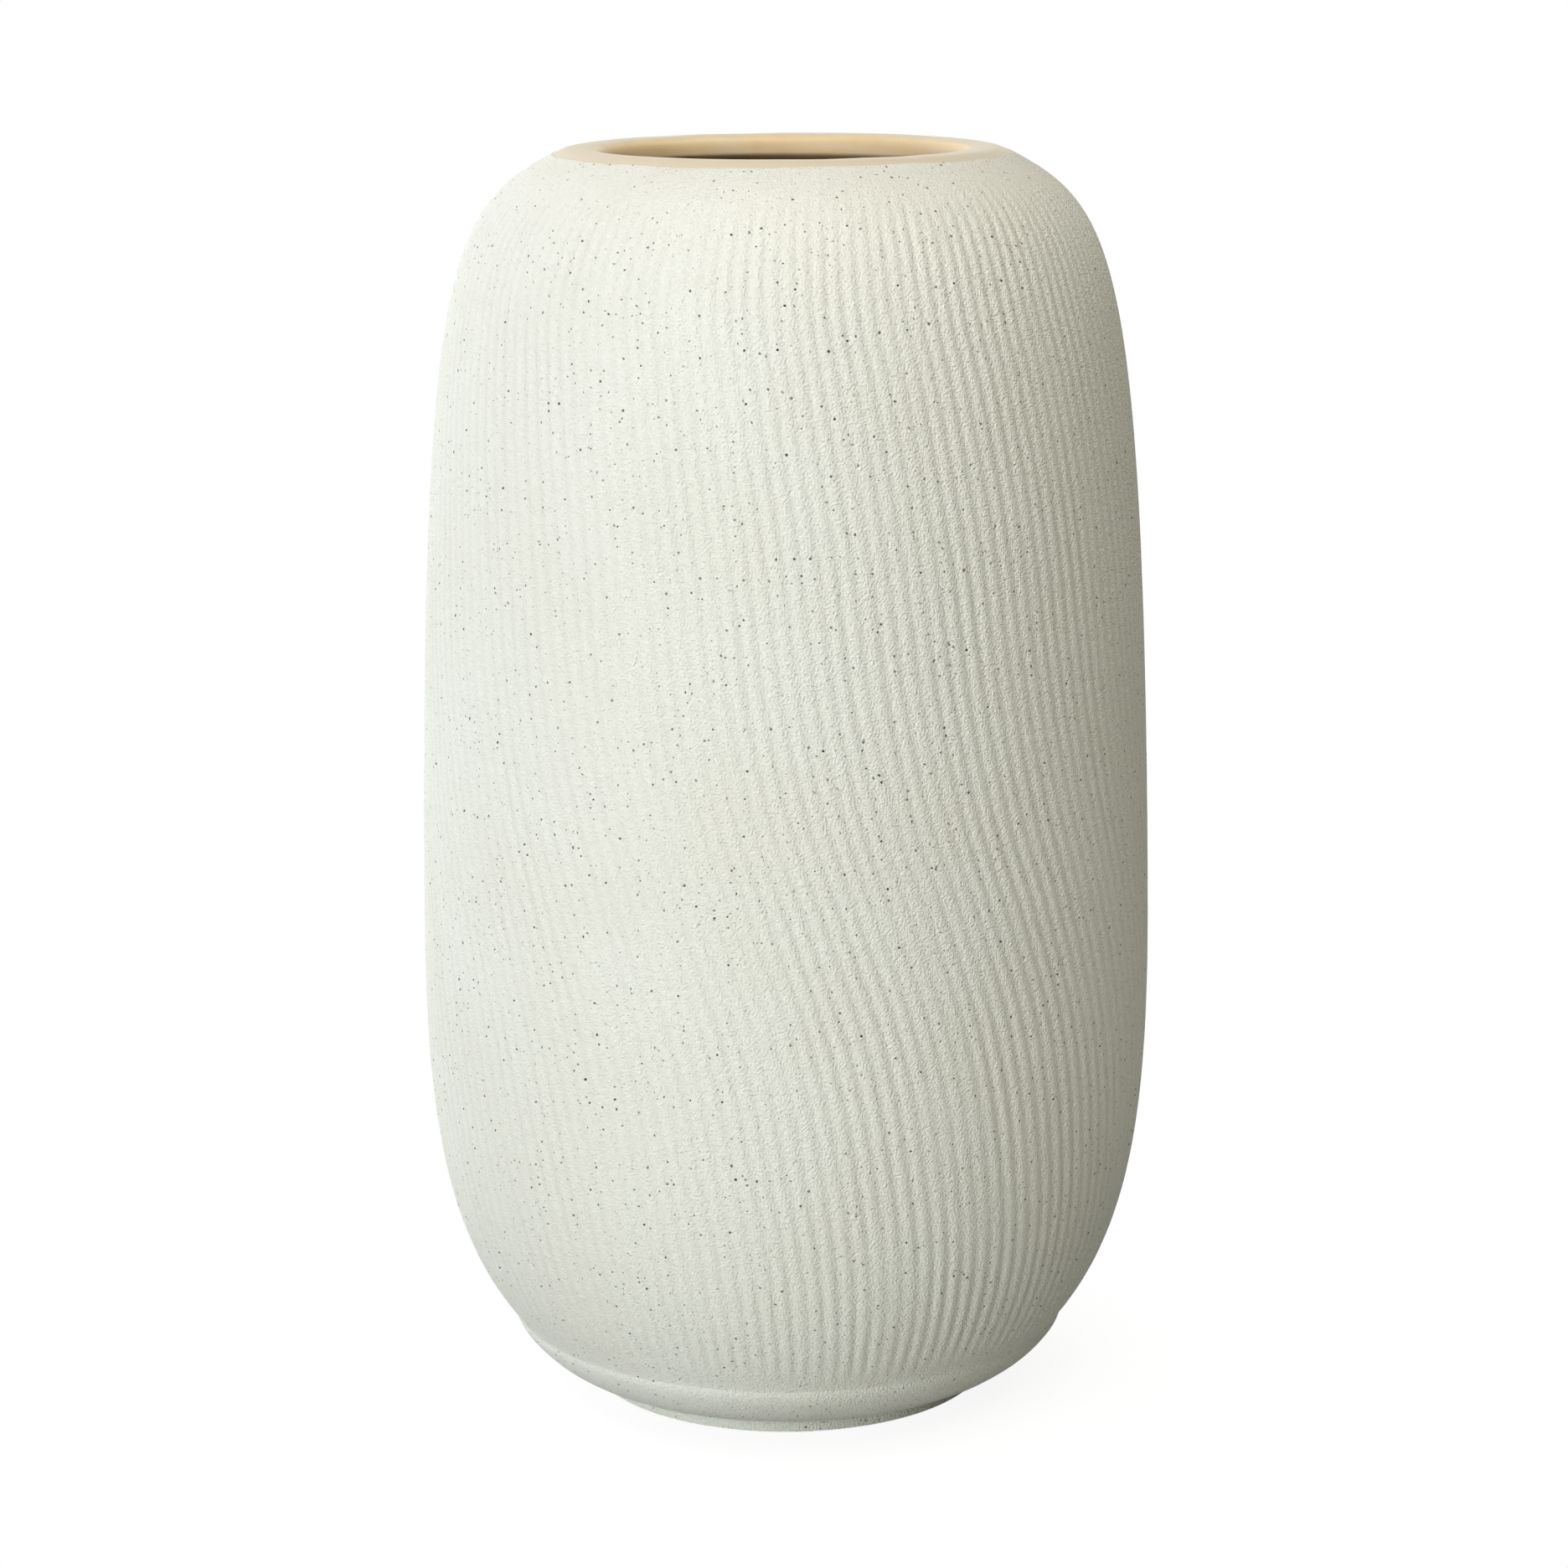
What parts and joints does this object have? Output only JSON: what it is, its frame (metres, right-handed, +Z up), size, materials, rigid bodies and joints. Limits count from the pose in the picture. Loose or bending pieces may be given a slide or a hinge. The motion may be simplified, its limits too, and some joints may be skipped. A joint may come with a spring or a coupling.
{
  "type": "vase",
  "caption": "Free-standing stoneware vase with a white, speckled, finely fluted coat, a rounded tan-glazed lip, a bead round the base and a turned foot ring.",
  "frame": {"origin": "centre of the circle on which the foot ring stands", "axes": "+Z up along the axis of the pot; -Y faces the camera of the picture"},
  "size_m": [0.1466, 0.1466, 0.2506],
  "materials": {
    "fired_clay": "bare fired buff stoneware, matte and slightly gritty",
    "white_slip": "matte off-white sand-grit slip with dark iron specks",
    "tan_glaze": "satin to glossy tan glaze"
  },
  "bodies": {
    "root": {"stoneware_wall": "fired_clay", "stoneware_base": "fired_clay", "foot_ring": "fired_clay", "fluted_coat": "white_slip", "foot_coat": "white_slip", "rim_glaze": "tan_glaze", "liner_glaze": "tan_glaze"}
  },
  "joints": []
}
